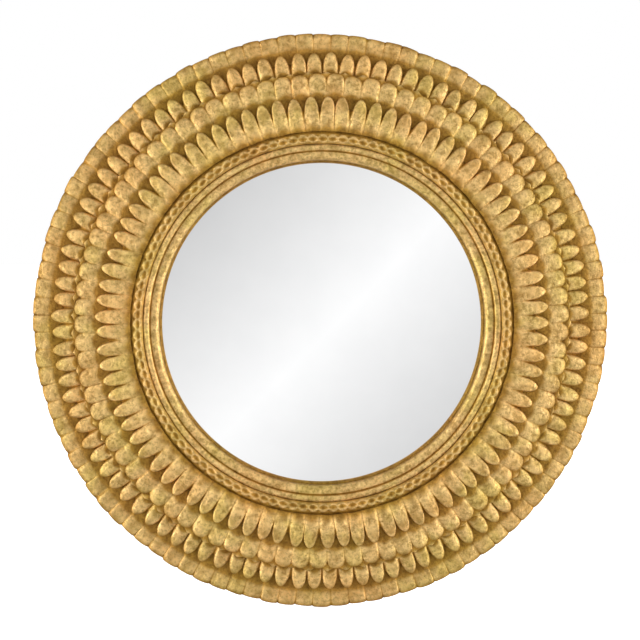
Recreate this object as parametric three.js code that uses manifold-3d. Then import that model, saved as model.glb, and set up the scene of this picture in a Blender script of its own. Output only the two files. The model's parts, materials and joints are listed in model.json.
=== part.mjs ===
// Round convex mirror in a carved and gilded frame, with its back and hanging hardware.
// Millimetres. In the finished part +X is right, +Z is up and the front faces -Y.
// The pieces are drawn on the bench, lying on their back: x right, y up the wall, z off the wall.
import * as THREE from "three";
import { mergeVertices } from "three/addons/utils/BufferGeometryUtils.js";
import Module from "manifold-3d";

// Driving dimensions. Radii run from the rim inwards, heights from the wall towards the room.
const frameDiameter = 762;
const glueGap = 0.3; // left between pieces that touch
const wallStandoff = 8; // height of the wall pads

const backRing = { segments: 8, thickness: 13, overhang: 13, chords: 8 };

// Each row of petals is a ring carved on its outer part. The next row lies on it and hides the rest.
const outerRow = { petals: 100, reveal: 24.1, thickness: 9.7, tipThickness: 5.7, notch: 1.6, groove: 1.2 };
const secondRow = { petals: 100, reveal: 28.5, thickness: 10.2, tipThickness: 7.7, notch: 11, groove: 3.5 };
const thirdRow = { petals: 85, reveal: 29.3, thickness: 9.2, tipThickness: 7.2, notch: 4, groove: 1.2 };
const innerRow = { petals: 85, reveal: 47.9, thickness: 10.7, tipThickness: 5.7, notch: 13, groove: 3 };
const innerRowCurl = { length: 11, fall: 1.5 }; // where a long petal starts to bend down to its tip
const notchFloor = 1.5; // wood left between the tips of a row of arched petals
const coveredEdge = 2; // the flat that carries the next row ends this far outside that row's tips
const edgeRound = 1.6; // rounding of the inner row's inner edge

// Widths of the guilloche's parts from the glass outwards. Heights are from the front of the back ring.
const guillocheWidths = { innerSlope: 3.4, ribbon: 6.4, outerSlope: 3.8, groove: 2.4 };
const guilloche = { eyes: 116, height: 39, eyeDepth: 2.6, eyeInset: 0.6, innerFall: 5, grooveDepth: 6.5 };

const sightWidths = { bead: 12.5, reed: 7.2, rim: 1.5 };
const sightHeights = { edge: 20.7, bead: 30.7, valley: 28, reed: 34.7, rim: 30.2 };
const lipThickness = 2; // of the sight moulding's edge, in front of the glass

const glass = { cover: 10.7, thickness: 3, sagitta: 30 };
const rebateClearance = 2.2;
const packingWidth = 12;
const boardThickness = 4;
const boardClearance = 1.8;
const roundSteps = 60; // facets of a plain turned ring
const coveredSteps = 50; // facets of a petal row's inner edge, where another row covers it

const turnButton = { count: 6, pivotInset: 11.7, reach: 24, endRadius: 6, thickness: 2.2 };
const buttonScrew = { headRadius: 4.2, headHeight: 2, shankRadius: 2 };

const hanger = { inset: 118, up: 150, width: 14, length: 42, thickness: 1.2 }; // inset from the back's edge
const hangerScrew = { headRadius: 3.6, headHeight: 1.5, shankRadius: 1.7 };
const hangerScrewInset = { upper: 10, lower: 11 }; // from the ring's pivot, and from the strap's end
const ring = { wireRadius: 1.6, halfWidth: 11.6, straight: 6, corner: 3.4 };
const pivotPlay = 0.3; // round the ring's bar and the button screws

const wallPad = { count: 4, radius: 9, taper: 1.5, inset: 20 };
const slot = { width: 1.1, depth: 0.8 };
const screwTip = { cover: 2.8, play: 1 }; // wood in front of a screw's tip, and how much of it is drilled

// Worked out from the dimensions above.
const outerTip = frameDiameter / 2;
const secondTip = outerTip - outerRow.reveal;
const thirdTip = secondTip - secondRow.reveal;
const innerTip = thirdTip - thirdRow.reveal;
const innerBase = innerTip - innerRow.reveal;
const guillocheOuter = innerBase - glueGap;
const grooveInner = guillocheOuter - guillocheWidths.groove;
const ribbonOuter = grooveInner - guillocheWidths.outerSlope;
const ribbonInner = ribbonOuter - guillocheWidths.ribbon;
const guillocheInner = ribbonInner - guillocheWidths.innerSlope;
const sightOuter = guillocheInner - glueGap;
const reedOuter = sightOuter - sightWidths.rim;
const reedInner = reedOuter - sightWidths.reed;
const sightRadius = reedInner - sightWidths.bead;
const glassRadius = sightRadius + glass.cover;
const rebateRadius = glassRadius + rebateClearance;
const backRingOuter = outerTip - backRing.overhang;

const frameBack = wallStandoff;
const carcaseFront = frameBack + backRing.thickness;
const firstSeat = carcaseFront + glueGap;
const secondSeat = firstSeat + outerRow.thickness + glueGap;
const thirdSeat = secondSeat + secondRow.thickness + glueGap;
const innerSeat = thirdSeat + thirdRow.thickness + glueGap;

// How far the front of the glass stands forward of its rim, at a radius.
const domeRadius = (glassRadius ** 2 + glass.sagitta ** 2) / (2 * glass.sagitta);
const domeRise = (radius) => glass.sagitta - domeRadius + Math.sqrt(domeRadius ** 2 - radius ** 2);
const lipBack = carcaseFront + sightHeights.edge - lipThickness;
const glassRim = lipBack - glueGap - domeRise(sightRadius);
const glassFront = (radius) => glassRim + domeRise(radius);

const turn = 2 * Math.PI;
const chordsPerCurveSegment = 2; // an arc in a Shape gets two chords for each curve segment
const onHardwareFace = frameBack - glueGap; // the plane on which hardware lies on the back

const gilt = { color: 0xb8935a, roughness: 0.45, metalness: 0.7 };
const bareWood = { color: 0x8a6a45, roughness: 0.8, metalness: 0 };
const board = { color: 0x6e5234, roughness: 0.9, metalness: 0 };
const silvered = { color: 0xe6e8ea, roughness: 0.03, metalness: 1 };
const brass = { color: 0xb59a58, roughness: 0.35, metalness: 1 };
const steel = { color: 0xa9a9a4, roughness: 0.4, metalness: 1 };
const rubber = { color: 0x2b2a28, roughness: 0.9, metalness: 0 };

const wasm = await Module();
wasm.setup();

// A closed three.js geometry as a solid that can be joined and cut.
function solidFrom(geometry) {
  const plain = geometry.clone();
  plain.deleteAttribute("normal");
  plain.deleteAttribute("uv");
  const merged = mergeVertices(plain, 1e-4);
  return new wasm.Manifold(
    new wasm.Mesh({
      numProp: 3,
      vertProperties: new Float32Array(merged.attributes.position.array),
      triVerts: new Uint32Array(merged.index.array),
    }),
  );
}

function geometryFrom(solid) {
  const mesh = solid.getMesh();
  const geometry = new THREE.BufferGeometry();
  geometry.setAttribute("position", new THREE.BufferAttribute(mesh.vertProperties, 3));
  geometry.setIndex(new THREE.BufferAttribute(mesh.triVerts, 1));
  return geometry;
}

function cut(geometry, ...tools) {
  let solid = solidFrom(geometry);
  for (const tool of tools) solid = solid.subtract(solidFrom(tool));
  return geometryFrom(solid);
}

// The radius at which a hole's flat facets just clear a circle of the given radius.
const roundHole = (radius, steps) => radius / Math.cos(Math.PI / steps);

// A turned piece. Its section is a list of [radius, height] points, out along the bottom and back
// over the top.
function turned(section, steps = roundSteps) {
  const points = section.map(([radius, height]) => new THREE.Vector2(radius, height));
  return new THREE.LatheGeometry(points, steps).rotateX(Math.PI / 2);
}

// One line of points round the frame: the samples [share of a petal, radius, height] repeat.
function petalLine(count, samples) {
  const line = [];
  for (let petal = 0; petal < count; petal++) {
    for (const [share, radius, height] of samples) {
      line.push({ angle: ((petal + share) * turn) / count, radius, height });
    }
  }
  return line;
}

// A closed ring whose section is a loop of such lines, each joined to the next by triangles.
function ringThrough(lines) {
  const positions = [];
  const triangles = [];
  const starts = lines.map((line) => {
    const start = positions.length / 3;
    for (const { angle, radius, height } of line) {
      positions.push(radius * Math.cos(angle), radius * Math.sin(angle), height);
    }
    return start;
  });
  const angleAt = (line, i) => line[i % line.length].angle + (i >= line.length ? turn : 0);
  lines.forEach((near, n) => {
    const far = lines[(n + 1) % lines.length];
    const nearStart = starts[n];
    const farStart = starts[(n + 1) % lines.length];
    let i = 0;
    let j = 0;
    while (i < near.length || j < far.length) {
      const nearNext = i < near.length ? angleAt(near, i + 1) : Infinity;
      const farNext = j < far.length ? angleAt(far, j + 1) : Infinity;
      const a = nearStart + (i % near.length);
      const b = farStart + (j % far.length);
      if (nearNext <= farNext) {
        triangles.push(a, b, nearStart + ((i + 1) % near.length));
        i++;
      } else {
        triangles.push(a, b, farStart + ((j + 1) % far.length));
        j++;
      }
    }
  });
  const geometry = new THREE.BufferGeometry();
  geometry.setAttribute("position", new THREE.Float32BufferAttribute(positions, 3));
  geometry.setIndex(triangles);
  return geometry;
}

// Share of a petal and share of the notch for the points of a tip: arched, or broad with a flat end.
const archedTip = [[-0.5, 1], [-0.26, 0.2], [0, 0], [0.26, 0.2]];
const broadTip = [[-0.5, 1], [-0.2, 0], [0.2, 0]];

// A row of petals, its flat underside on the seat, its tips at tipRadius.
function petalRow(row, tipRadius, crownRadius, seat, tipShape, phase) {
  const top = seat + row.thickness;
  const tipTop = seat + row.tipThickness;
  const notchTop = Math.max(tipTop - 2 * row.groove, seat + notchFloor);
  const tips = (heightOf) =>
    tipShape.map(([share, notch]) => [share + phase, tipRadius - notch * row.notch, heightOf(notch)]);
  const bore = roundHole(innerBase, coveredSteps);
  return ringThrough([
    petalLine(coveredSteps, [[0, bore, seat]]),
    petalLine(coveredSteps, [[0, bore, top]]),
    petalLine(row.petals, [[phase - 0.5, crownRadius, top - row.groove], [phase, crownRadius, top]]),
    petalLine(row.petals, tips((notch) => tipTop + notch * (notchTop - tipTop))),
    petalLine(row.petals, tips(() => seat)),
  ]);
}

// The inner row shows its whole length, so its grooves run down to its rounded inner edge.
function innerPetalRow() {
  const row = innerRow;
  const top = innerSeat + row.thickness;
  const tipTop = innerSeat + row.tipThickness;
  const crown = innerTip - innerRowCurl.length;
  const crownTop = top - innerRowCurl.fall;
  const bore = roundHole(innerBase, row.petals);
  const edge = innerBase + edgeRound;
  const tips = (heightOf) =>
    archedTip.map(([share, notch]) => [share, innerTip - notch * row.notch, heightOf(notch)]);
  const lines = [
    [[0, bore, innerSeat]],
    [[0, bore, top - edgeRound]],
    [[-0.5, edge, top - row.groove / 2], [0, edge, top]],
    [[-0.5, crown - row.notch / 2, crownTop - row.groove], [0, crown, crownTop]],
    tips((notch) => tipTop - notch * (row.tipThickness - notchFloor)),
    tips(() => innerSeat),
  ];
  return ringThrough(lines.map((samples) => petalLine(row.petals, samples)));
}

// A ribbon moulding: each eye is a dip in the crest between two crossings of the ribbon.
function guillocheMoulding() {
  const { eyes, eyeInset } = guilloche;
  const crest = carcaseFront + guilloche.height;
  const eye = crest - guilloche.eyeDepth;
  const floor = crest - guilloche.grooveDepth;
  const half = eyes / 2;
  const bore = roundHole(guillocheInner, half);
  return ringThrough([
    petalLine(half, [[0, bore, firstSeat]]),
    petalLine(half, [[0, bore, crest - guilloche.innerFall]]),
    petalLine(eyes, [[-0.5, ribbonInner, crest], [0, ribbonInner + eyeInset, eye]]),
    petalLine(eyes, [[-0.5, ribbonOuter, crest], [0, ribbonOuter - eyeInset, eye]]),
    petalLine(half, [[0, grooveInner, floor]]),
    petalLine(half, [[0, guillocheOuter, floor]]),
    petalLine(half, [[0, guillocheOuter, firstSeat]]),
  ]);
}

// The points of a rounded section over a crest, between its two feet, which are left out.
function roundOver(from, to, fromFoot, toFoot, crest, steps) {
  const points = [];
  for (let i = 1; i < steps; i++) {
    const sweep = (Math.PI * i) / steps;
    const foot = sweep < Math.PI / 2 ? fromFoot : toFoot;
    const radius = (from + to) / 2 + ((from - to) / 2) * Math.cos(sweep);
    points.push([radius, foot + (crest - foot) * Math.sin(sweep)]);
  }
  return points;
}

// Bead and reed, with a lip over the edge of the glass and a rebate behind it.
function sightMoulding() {
  const [edge, bead, valley, reed, rim] = ["edge", "bead", "valley", "reed", "rim"].map(
    (place) => carcaseFront + sightHeights[place],
  );
  const wall = roundHole(rebateRadius, roundSteps);
  const lipSlope = domeRise(sightRadius) / glass.cover;
  return turned([
    [wall, firstSeat],
    [sightOuter, firstSeat],
    [sightOuter, rim],
    [reedOuter, rim],
    ...roundOver(reedOuter, reedInner, rim, valley, reed, 4),
    [reedInner, valley],
    ...roundOver(reedInner, sightRadius, valley, edge, bead, 5),
    [sightRadius, edge],
    [sightRadius, lipBack],
    [wall, lipBack - lipSlope * (wall - sightRadius)],
    [wall, firstSeat],
  ]);
}

function convexGlass() {
  const steps = 5;
  const radii = Array.from({ length: steps + 1 }, (_, i) => (glassRadius * i) / steps);
  const back = radii.map((radius) => [radius, glassFront(radius) - glass.thickness]);
  const front = radii.map((radius) => [radius, glassFront(radius)]);
  return turned([...back, ...front.reverse()]);
}

// Fills the rebate between the board and the rim of the glass, its front sloped like the glass.
function packingRing() {
  const outer = rebateRadius - glueGap;
  const inner = outer - packingWidth;
  const bottom = frameBack + boardThickness + glueGap;
  const backOfGlass = (radius) => glassFront(radius) - glass.thickness - glueGap;
  return turned([
    [inner, bottom],
    [outer, bottom],
    [outer, backOfGlass(glassRadius)],
    [glassRadius, backOfGlass(glassRadius)],
    [inner, backOfGlass(inner)],
    [inner, bottom],
  ]);
}

function backingBoard() {
  const radius = rebateRadius - boardClearance;
  const geometry = new THREE.CylinderGeometry(radius, radius, boardThickness, roundSteps);
  return geometry.rotateX(Math.PI / 2).translate(0, 0, frameBack + boardThickness / 2);
}

// The blind hole that a screw sits in, from the back of the frame inwards.
function screwHole(screw, x, y) {
  const radius = screw.shankRadius + pivotPlay;
  const depth = backRing.thickness - screwTip.cover + screwTip.play;
  const geometry = new THREE.CylinderGeometry(radius, radius, 2 * depth, 8);
  return geometry.rotateX(Math.PI / 2).translate(x, y, frameBack);
}

const buttonPlaces = Array.from({ length: turnButton.count }, (_, i) => {
  const angle = ((i + 0.5) * turn) / turnButton.count;
  const radius = rebateRadius + turnButton.pivotInset;
  return { angle, x: radius * Math.cos(angle), y: radius * Math.sin(angle) };
});

const hangerSides = [
  { side: "left", x: hanger.inset - backRingOuter },
  { side: "right", x: backRingOuter - hanger.inset },
];

// Below the ring's pivot.
const hangerScrewPlaces = {
  upper: hangerScrewInset.upper,
  lower: hanger.length - hangerScrewInset.lower,
};

function segmentOfBackRing(start, end, holes) {
  const bore = roundHole(rebateRadius, backRing.segments * backRing.chords);
  const trim = glueGap / 2 / bore;
  const shape = new THREE.Shape();
  shape.absarc(0, 0, backRingOuter, start + trim, end - trim, false);
  shape.absarc(0, 0, bore, end - trim, start + trim, true);
  const geometry = new THREE.ExtrudeGeometry(shape, {
    depth: backRing.thickness,
    bevelEnabled: false,
    curveSegments: backRing.chords / chordsPerCurveSegment,
  }).translate(0, 0, frameBack);
  return cut(geometry, ...holes);
}

// Steel plate with one rounded end over its screw and the other over the board.
function buttonPlate() {
  const shape = new THREE.Shape();
  shape.absarc(0, 0, turnButton.endRadius, -Math.PI / 2, Math.PI / 2, false);
  shape.absarc(-turnButton.reach, 0, turnButton.endRadius, Math.PI / 2, (3 * Math.PI) / 2, false);
  const hole = new THREE.Path();
  const chords = 10;
  hole.absarc(0, 0, roundHole(buttonScrew.shankRadius + pivotPlay, chords), 0, turn, true);
  shape.holes.push(hole);
  return new THREE.ExtrudeGeometry(shape, {
    depth: turnButton.thickness,
    bevelEnabled: false,
    curveSegments: chords / chordsPerCurveSegment,
  });
}

// A round-headed wood screw whose head lies against z = 0 from below, its shank above, slot in the head.
function woodScrew({ headRadius, headHeight, shankRadius }, headSeat) {
  const length = carcaseFront - screwTip.cover - headSeat;
  const body = turned([
    [0, -headHeight],
    [headRadius * 0.6, -headHeight],
    [headRadius, -headHeight * 0.4],
    [headRadius, 0],
    [shankRadius, 0],
    [shankRadius, length * 0.75],
    [0, length],
  ], 10);
  const groove = new THREE.BoxGeometry(4 * headRadius, slot.width, 2 * slot.depth);
  return cut(body, groove.translate(0, 0, -headHeight));
}

const knuckleInner = ring.wireRadius + pivotPlay;
const knuckleOuter = knuckleInner + hanger.thickness;
const pivotHeight = onHardwareFace - knuckleOuter;
const ringHeight = ring.straight + ring.halfWidth;
const ringLean = Math.asin((onHardwareFace - ring.wireRadius - pivotHeight) / ringHeight);

// Strap bent round the ring's bar. Drawn from the side, pivot at the origin, then given its width.
function hangerStrap() {
  const chords = 12;
  const wrap = (285 * Math.PI) / 180;
  const shape = new THREE.Shape();
  shape.moveTo(knuckleOuter, -hanger.length);
  shape.lineTo(knuckleOuter, 0);
  shape.absarc(0, 0, knuckleOuter, 0, wrap, false);
  shape.absarc(0, 0, roundHole(knuckleInner, chords), wrap, 0, true);
  shape.lineTo(knuckleInner, -hanger.length);
  const strap = new THREE.ExtrudeGeometry(shape, {
    depth: hanger.width,
    bevelEnabled: false,
    curveSegments: chords / chordsPerCurveSegment,
  });
  strap.translate(0, 0, -hanger.width / 2).rotateY(-Math.PI / 2);
  const radius = hangerScrew.shankRadius + pivotPlay;
  const holes = Object.values(hangerScrewPlaces).map((below) =>
    new THREE.CylinderGeometry(radius, radius, 4 * knuckleOuter, 8)
      .rotateX(Math.PI / 2)
      .translate(0, -below, 2 * knuckleOuter + knuckleInner / 2),
  );
  return cut(strap, ...holes);
}

// D-shaped ring of round wire, its bar on the x axis and its bow upwards.
function hangerRing() {
  const { halfWidth, straight, corner } = ring;
  const path = new THREE.Path();
  path.moveTo(-halfWidth + corner, 0);
  path.lineTo(halfWidth - corner, 0);
  path.absarc(halfWidth - corner, corner, corner, -Math.PI / 2, 0, false);
  path.lineTo(halfWidth, straight);
  path.absarc(0, straight, halfWidth, 0, Math.PI, false);
  path.lineTo(-halfWidth, corner);
  path.absarc(-halfWidth + corner, corner, corner, Math.PI, (3 * Math.PI) / 2, false);
  const steps = 28;
  const points = path.getSpacedPoints(steps).slice(0, -1).map((p) => new THREE.Vector3(p.x, p.y, 0));
  const loop = new THREE.CatmullRomCurve3(points, true);
  return new THREE.TubeGeometry(loop, steps, ring.wireRadius, 6, true);
}

function padGeometry() {
  const height = onHardwareFace;
  const { radius, taper } = wallPad;
  return new THREE.CylinderGeometry(radius, radius - taper, height, 16)
    .rotateX(Math.PI / 2)
    .translate(0, 0, height / 2);
}

const mirror = new THREE.Group();
const bench = new THREE.Group();
bench.rotation.x = Math.PI / 2; // stands the bench up against the wall
mirror.add(bench);

function addPiece(name, geometry, finish, place = {}) {
  const mesh = new THREE.Mesh(geometry, new THREE.MeshStandardMaterial(finish));
  mesh.name = name;
  mesh.position.set(place.x ?? 0, place.y ?? 0, place.z ?? 0);
  mesh.rotation.set(place.lean ?? 0, 0, place.angle ?? 0);
  bench.add(mesh);
}

function addCarcase() {
  const holes = [
    ...buttonPlaces.map(({ x, y }) => screwHole(buttonScrew, x, y)),
    ...hangerSides.flatMap(({ x }) =>
      Object.values(hangerScrewPlaces).map((below) => screwHole(hangerScrew, x, hanger.up - below)),
    ),
  ];
  const sweep = turn / backRing.segments;
  for (let i = 0; i < backRing.segments; i++) {
    const start = (i - 0.5) * sweep;
    addPiece(`back_ring_segment_${i + 1}`, segmentOfBackRing(start, start + sweep, holes), bareWood);
  }
}

function addCarvedFrame() {
  const outer = petalRow(outerRow, outerTip, secondTip + coveredEdge, firstSeat, broadTip, 0);
  const second = petalRow(secondRow, secondTip, thirdTip + coveredEdge, secondSeat, archedTip, 0.5);
  const third = petalRow(thirdRow, thirdTip, innerTip + coveredEdge, thirdSeat, broadTip, 0.5);
  addPiece("petal_row_outer", outer, gilt);
  addPiece("petal_row_second", second, gilt);
  addPiece("petal_row_third", third, gilt);
  addPiece("petal_row_inner", innerPetalRow(), gilt);
  addPiece("guilloche_moulding", guillocheMoulding(), gilt);
  addPiece("sight_moulding", sightMoulding(), gilt);
}

function addGlazing() {
  addPiece("convex_mirror_glass", convexGlass(), silvered);
  addPiece("packing_ring", packingRing(), bareWood);
  addPiece("backing_board", backingBoard(), board);
}

function addTurnButtons() {
  buttonPlaces.forEach((place, i) => {
    const back = onHardwareFace - turnButton.thickness;
    const headSeat = back - glueGap;
    addPiece(`turn_button_${i + 1}`, buttonPlate(), brass, { ...place, z: back });
    addPiece(`button_screw_${i + 1}`, woodScrew(buttonScrew, headSeat), brass, { ...place, z: headSeat });
  });
}

function addHangers() {
  for (const { side, x } of hangerSides) {
    const pivot = { x, y: hanger.up, z: pivotHeight };
    addPiece(`hanger_strap_${side}`, hangerStrap(), steel, pivot);
    addPiece(`hanger_ring_${side}`, hangerRing(), steel, { ...pivot, lean: ringLean });
    const headSeat = onHardwareFace - hanger.thickness - glueGap;
    for (const [which, below] of Object.entries(hangerScrewPlaces)) {
      const place = { x, y: hanger.up - below, z: headSeat };
      addPiece(`hanger_screw_${side}_${which}`, woodScrew(hangerScrew, headSeat), steel, place);
    }
  }
}

function addWallPads() {
  const radius = backRingOuter - wallPad.inset;
  for (let i = 0; i < wallPad.count; i++) {
    const angle = ((i + 0.5) * turn) / wallPad.count;
    const place = { x: radius * Math.cos(angle), y: radius * Math.sin(angle) };
    addPiece(`wall_pad_${i + 1}`, padGeometry(), rubber, place);
  }
}

addCarcase();
addCarvedFrame();
addGlazing();
addTurnButtons();
addHangers();
addWallPads();

export default mirror;
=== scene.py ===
import json
import math
import random

import bmesh
import bpy
from mathutils import Matrix, Vector, noise


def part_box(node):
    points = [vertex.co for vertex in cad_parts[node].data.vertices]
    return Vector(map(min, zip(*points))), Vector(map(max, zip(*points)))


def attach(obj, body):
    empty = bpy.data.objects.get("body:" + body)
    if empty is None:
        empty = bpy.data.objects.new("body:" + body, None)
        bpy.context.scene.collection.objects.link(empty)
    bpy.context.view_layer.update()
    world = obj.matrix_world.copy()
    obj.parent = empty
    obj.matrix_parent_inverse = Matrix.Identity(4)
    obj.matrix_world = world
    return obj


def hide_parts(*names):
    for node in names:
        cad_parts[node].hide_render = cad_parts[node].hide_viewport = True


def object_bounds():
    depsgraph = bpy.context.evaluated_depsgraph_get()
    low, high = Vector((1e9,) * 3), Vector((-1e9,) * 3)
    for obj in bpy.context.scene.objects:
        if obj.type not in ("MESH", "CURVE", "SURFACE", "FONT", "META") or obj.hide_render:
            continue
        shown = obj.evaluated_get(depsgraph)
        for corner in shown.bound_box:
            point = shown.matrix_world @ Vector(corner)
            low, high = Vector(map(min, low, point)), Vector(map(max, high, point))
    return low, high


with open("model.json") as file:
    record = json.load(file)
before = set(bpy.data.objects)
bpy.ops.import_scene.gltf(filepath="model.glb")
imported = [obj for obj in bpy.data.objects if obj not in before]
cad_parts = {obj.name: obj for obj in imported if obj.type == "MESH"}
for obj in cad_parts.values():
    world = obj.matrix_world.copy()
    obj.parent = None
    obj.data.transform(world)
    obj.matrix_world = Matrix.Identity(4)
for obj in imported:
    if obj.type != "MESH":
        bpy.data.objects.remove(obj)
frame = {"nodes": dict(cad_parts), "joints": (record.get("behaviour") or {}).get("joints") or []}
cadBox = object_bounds()
print("frame loaded:", len(frame["nodes"]), "nodes")

mm = 0.001
turn = 2 * math.pi
mergeDistance = 1e-6       # metres


# How far the back and the front of a node stand off the wall, in mm.
def backAndFront(nodeName):
    low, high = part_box(nodeName)
    return -high.y / mm, -low.y / mm


# A point of the frame: radius and height off the wall in mm, angle from three o'clock.
def onFrame(radius, angle, height):
    return Vector((radius * math.cos(angle), -height, radius * math.sin(angle))) * mm


def addNode(tree, kind, inputs=None, **settings):
    made = tree.nodes.new(kind)
    for setting, value in settings.items():
        setattr(made, setting, value)
    for socket, value in (inputs or {}).items():
        if isinstance(value, bpy.types.NodeSocket):
            tree.links.new(value, made.inputs[socket])
        else:
            made.inputs[socket].default_value = value
    return made


def addRamp(tree, factor, stops):
    ramp = addNode(tree, "ShaderNodeValToRGB", {"Fac": factor})
    elements = ramp.color_ramp.elements
    while len(elements) < len(stops):
        elements.new(0.5)
    for element, (place, colour) in zip(elements, stops):
        element.position = place
        element.color = (*colour, 1)
    return ramp.outputs["Color"]


def addMath(tree, operation, *values, clamp=False):
    inputs = dict(enumerate(values))
    return addNode(tree, "ShaderNodeMath", inputs, operation=operation, use_clamp=clamp).outputs[0]


def addMix(tree, factor, first, second, blend="MIX"):
    node = addNode(tree, "ShaderNodeMix", data_type="RGBA", blend_type=blend)
    for socket, value in zip((node.inputs[0], node.inputs[6], node.inputs[7]), (factor, first, second)):
        if isinstance(value, bpy.types.NodeSocket):
            tree.links.new(value, socket)
        else:
            socket.default_value = value
    return node.outputs[2]


def addNoise(tree, vector, scale, detail=3, roughness=0.55):
    inputs = {"Vector": vector, "Scale": scale, "Detail": detail, "Roughness": roughness}
    return addNode(tree, "ShaderNodeTexNoise", inputs).outputs["Fac"]


def addBump(tree, shader, height, distance, strength=1.0):
    bump = addNode(tree, "ShaderNodeBump", {"Height": height, "Distance": distance, "Strength": strength})
    tree.links.new(bump.outputs["Normal"], shader.inputs["Normal"])


def vertsOf(geom):
    return [part for part in geom if isinstance(part, bmesh.types.BMVert)]


def edgesOf(geom):
    return [part for part in geom if isinstance(part, bmesh.types.BMEdge)]


def pivotOf(jointName):
    return next(Vector(joint["pos_m"]) for joint in frame["joints"] if joint["name"] == jointName)


def newMaterial(name):
    material = bpy.data.materials.new(name)
    material.use_nodes = True
    tree = material.node_tree
    return material, tree, tree.nodes["Principled BSDF"]


# Makes a piece from a bmesh: cleans it, gives it its material and puts it on its body.
def finishPiece(name, bm, materials, body="frame", replaces=(), levels=0):
    bmesh.ops.remove_doubles(bm, verts=bm.verts, dist=mergeDistance)
    bmesh.ops.recalc_face_normals(bm, faces=bm.faces)
    mesh = bpy.data.meshes.new(name)
    for face in bm.faces:
        face.smooth = True
    bm.to_mesh(mesh)
    bm.free()
    for material in materials:
        mesh.materials.append(material)
    piece = bpy.data.objects.new(name, mesh)
    bpy.context.scene.collection.objects.link(piece)
    if levels:
        smoother = piece.modifiers.new("smoother", "SUBSURF")
        smoother.levels = smoother.render_levels = levels
    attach(piece, body)
    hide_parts(*replaces)
    return piece


def bevelSharpEdges(bm, width, segments=2, sharp=math.radians(30)):
    edges = [edge for edge in bm.edges if len(edge.link_faces) == 2 and edge.calc_face_angle() > sharp]
    bmesh.ops.bevel(bm, geom=edges, offset=width * mm, offset_type="OFFSET", affect="EDGES",
                    segments=segments, profile=0.5, material=-1, clamp_overlap=True)


view = {
    "distance": 2.6,        # metres from the wall
    "lens": 109.5,
    "left": 2.4,            # degrees left of square on
    "above": 3.8,           # degrees above the middle
    "aim": (-0.0027, -0.03, 0.0038),
}


def addCamera():
    data = bpy.data.cameras.new("camera")
    data.lens = view["lens"]
    data.clip_end = 60
    camera = bpy.data.objects.new("camera", data)
    bpy.context.scene.collection.objects.link(camera)
    left, above = math.radians(view["left"]), math.radians(view["above"])
    aim = Vector(view["aim"])
    away = Vector((-math.sin(left) * math.cos(above), -math.cos(left) * math.cos(above), math.sin(above)))
    camera.location = aim + (view["distance"] + aim.y) * away
    camera.rotation_euler = (-away).to_track_quat("-Z", "Y").to_euler()
    bpy.context.scene.camera = camera


addCamera()
print("camera placed")


light = {
    "side": 3.0,            # metres to each side
    "front": 1.15,
    "up": -0.2,
    "size": (1.6, 2.2),
    "watts": 85,
    "back": (0.9, 2.6, 1.5),
    "backWatts": 60,
    "ambient": 0.68,        # plain level of the room on matt surfaces
    "sheen": 0.62,          # the same on satin surfaces
}
reflection = {
    "white": 1.03,          # what polished glass shows straight on
    "fall": 0.62,           # how fast that darkens towards upper left and lower right
    "shift": 0.109,         # how far its brightest line lies towards the lower right
    "darkest": 0.35,
}
ground = {"colour": (0.9, 0.9, 0.9, 1), "rough": 0.9, "glow": 0.7, "size": 12, "gap": 0.001}


def addLamp(name, place, watts):
    data = bpy.data.lights.new(name, "AREA")
    data.shape = "RECTANGLE"
    data.size, data.size_y = light["size"]
    data.energy = watts
    lamp = bpy.data.objects.new(name, data)
    bpy.context.scene.collection.objects.link(lamp)
    lamp.location = place
    lamp.rotation_euler = (-lamp.location).to_track_quat("-Z", "Y").to_euler()


def addWorld():
    world = bpy.data.worlds.new("studio")
    bpy.context.scene.world = world
    world.use_nodes = True
    tree = world.node_tree
    tree.nodes.clear()
    ray = addNode(tree, "ShaderNodeLightPath").outputs
    direction = addNode(tree, "ShaderNodeTexCoord").outputs["Generated"]
    diagonal = {0: direction, 1: (0.7071, 0, -0.7071)}
    across = addNode(tree, "ShaderNodeVectorMath", diagonal, operation="DOT_PRODUCT").outputs["Value"]
    slope = addMath(tree, "ABSOLUTE", addMath(tree, "SUBTRACT", across, reflection["shift"]))
    fall = addMath(tree, "MULTIPLY_ADD", slope, -reflection["fall"], reflection["white"])
    seen = addMath(tree, "MAXIMUM", fall, reflection["darkest"])
    matt = addMix(tree, ray["Is Camera Ray"], (light["ambient"],) * 3 + (1,), (1, 1, 1, 1))
    satin = addMix(tree, ray["Is Glossy Ray"], matt, (light["sheen"],) * 3 + (1,))
    colour = addMix(tree, ray["Is Singular Ray"], satin, seen)
    background = addNode(tree, "ShaderNodeBackground", {"Color": colour, "Strength": 1.0})
    output = addNode(tree, "ShaderNodeOutputWorld")
    tree.links.new(background.outputs[0], output.inputs["Surface"])


def addFloor():
    material, tree, shader = newMaterial("paleFloor")
    ray = addNode(tree, "ShaderNodeLightPath").outputs
    shader.inputs["Base Color"].default_value = ground["colour"]
    shader.inputs["Roughness"].default_value = ground["rough"]
    shader.inputs["Emission Color"].default_value = (1, 1, 1, 1)
    glow = addMath(tree, "MULTIPLY", ray["Is Camera Ray"], ground["glow"])
    tree.links.new(glow, shader.inputs["Emission Strength"])
    bm = bmesh.new()
    bmesh.ops.create_grid(bm, x_segments=1, y_segments=1, size=ground["size"])
    bmesh.ops.translate(bm, verts=bm.verts, vec=(0, 0, cadBox[0].z - ground["gap"]))
    mesh = bpy.data.meshes.new("floor")
    bm.to_mesh(mesh)
    bm.free()
    mesh.materials.append(material)
    floor = bpy.data.objects.new("floor", mesh)
    bpy.context.scene.collection.objects.link(floor)
    floor.visible_glossy = False


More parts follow.
